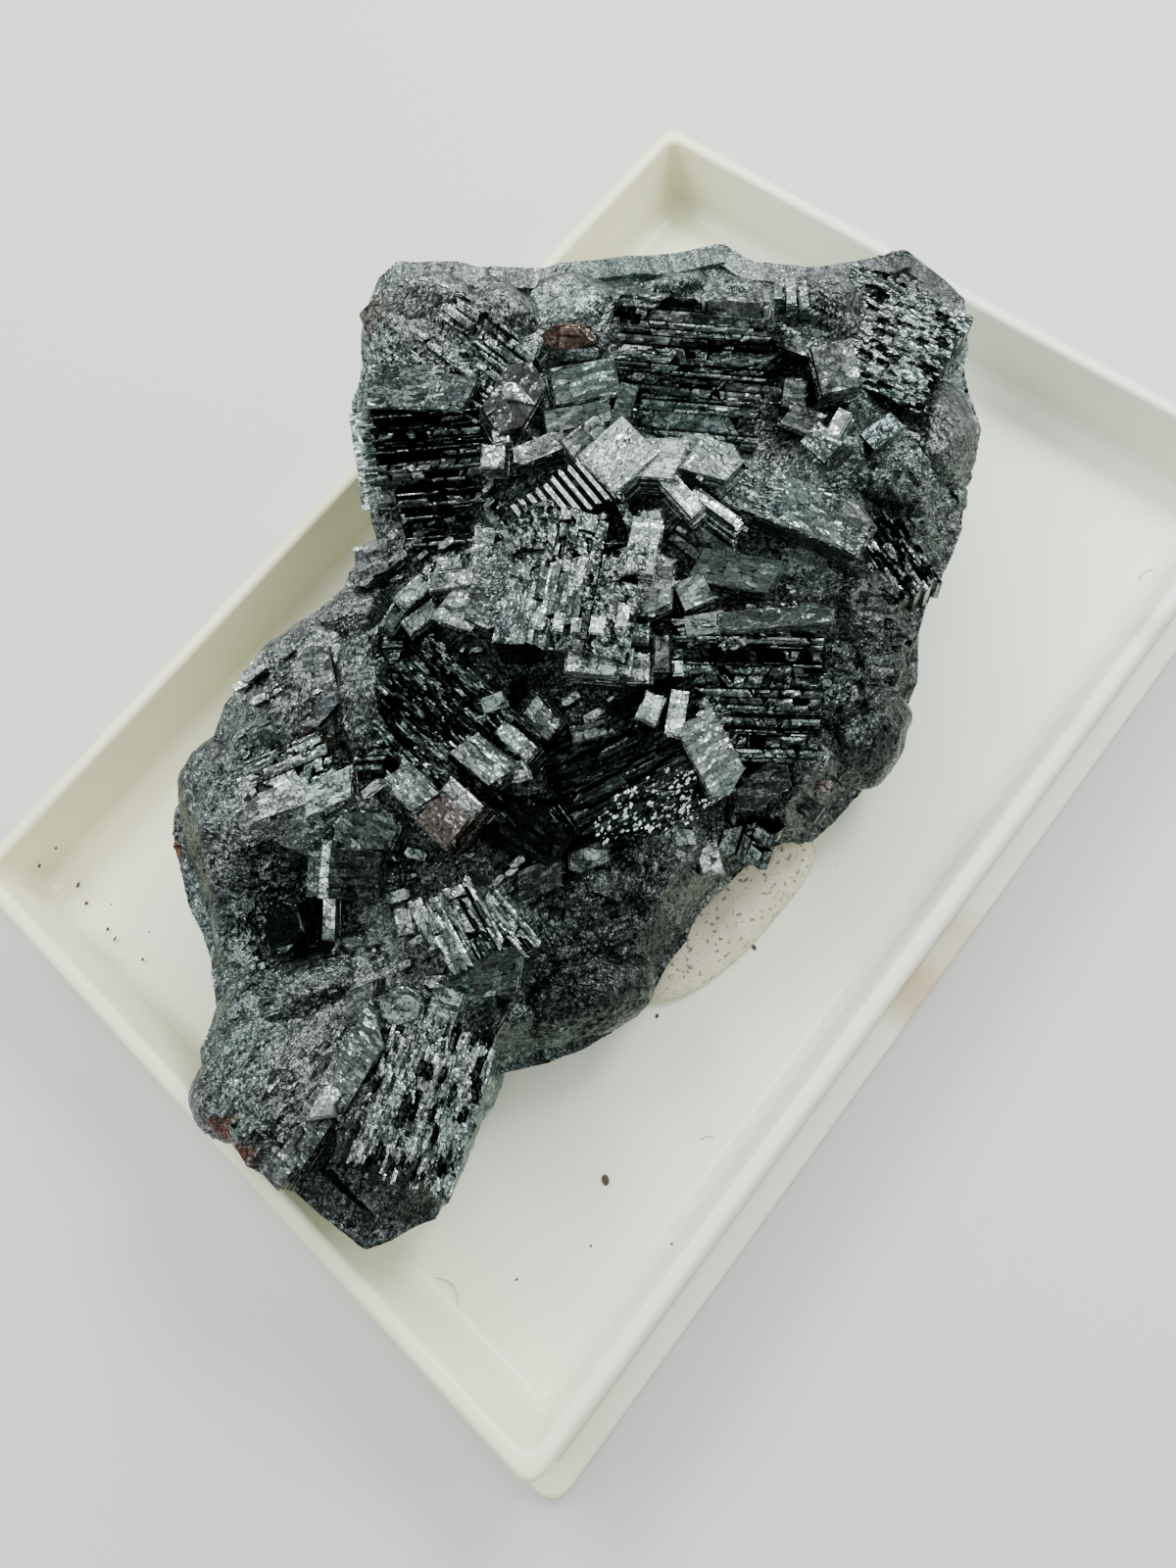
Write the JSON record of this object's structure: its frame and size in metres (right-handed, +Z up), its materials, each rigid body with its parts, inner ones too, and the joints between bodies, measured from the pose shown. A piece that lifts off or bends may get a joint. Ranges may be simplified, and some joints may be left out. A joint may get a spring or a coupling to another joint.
{
  "type": "hematite specimen",
  "caption": "Dark metallic crystal cluster of hematite, held with putty in a shallow white box base for display.",
  "frame": {"origin": "middle of the box base's footprint, on the plane that the box base stands on", "axes": "+X along the box base's long side, +Z up out of the box, +Y completes a right-handed frame"},
  "size_m": [0.1144, 0.0782, 0.0378],
  "materials": {
    "hematite": "bright steel-grey to black metallic crystal faces with fine striations, matt granular grey between them",
    "putty": "matt cream putty with small dark flecks",
    "box_plastic": "glossy white moulded plastic, a little yellowed, with a few specks of dirt"
  },
  "bodies": {
    "root": {"hematite_cluster": "hematite", "mounting_putty": "putty", "box_base": "box_plastic"}
  },
  "joints": []
}
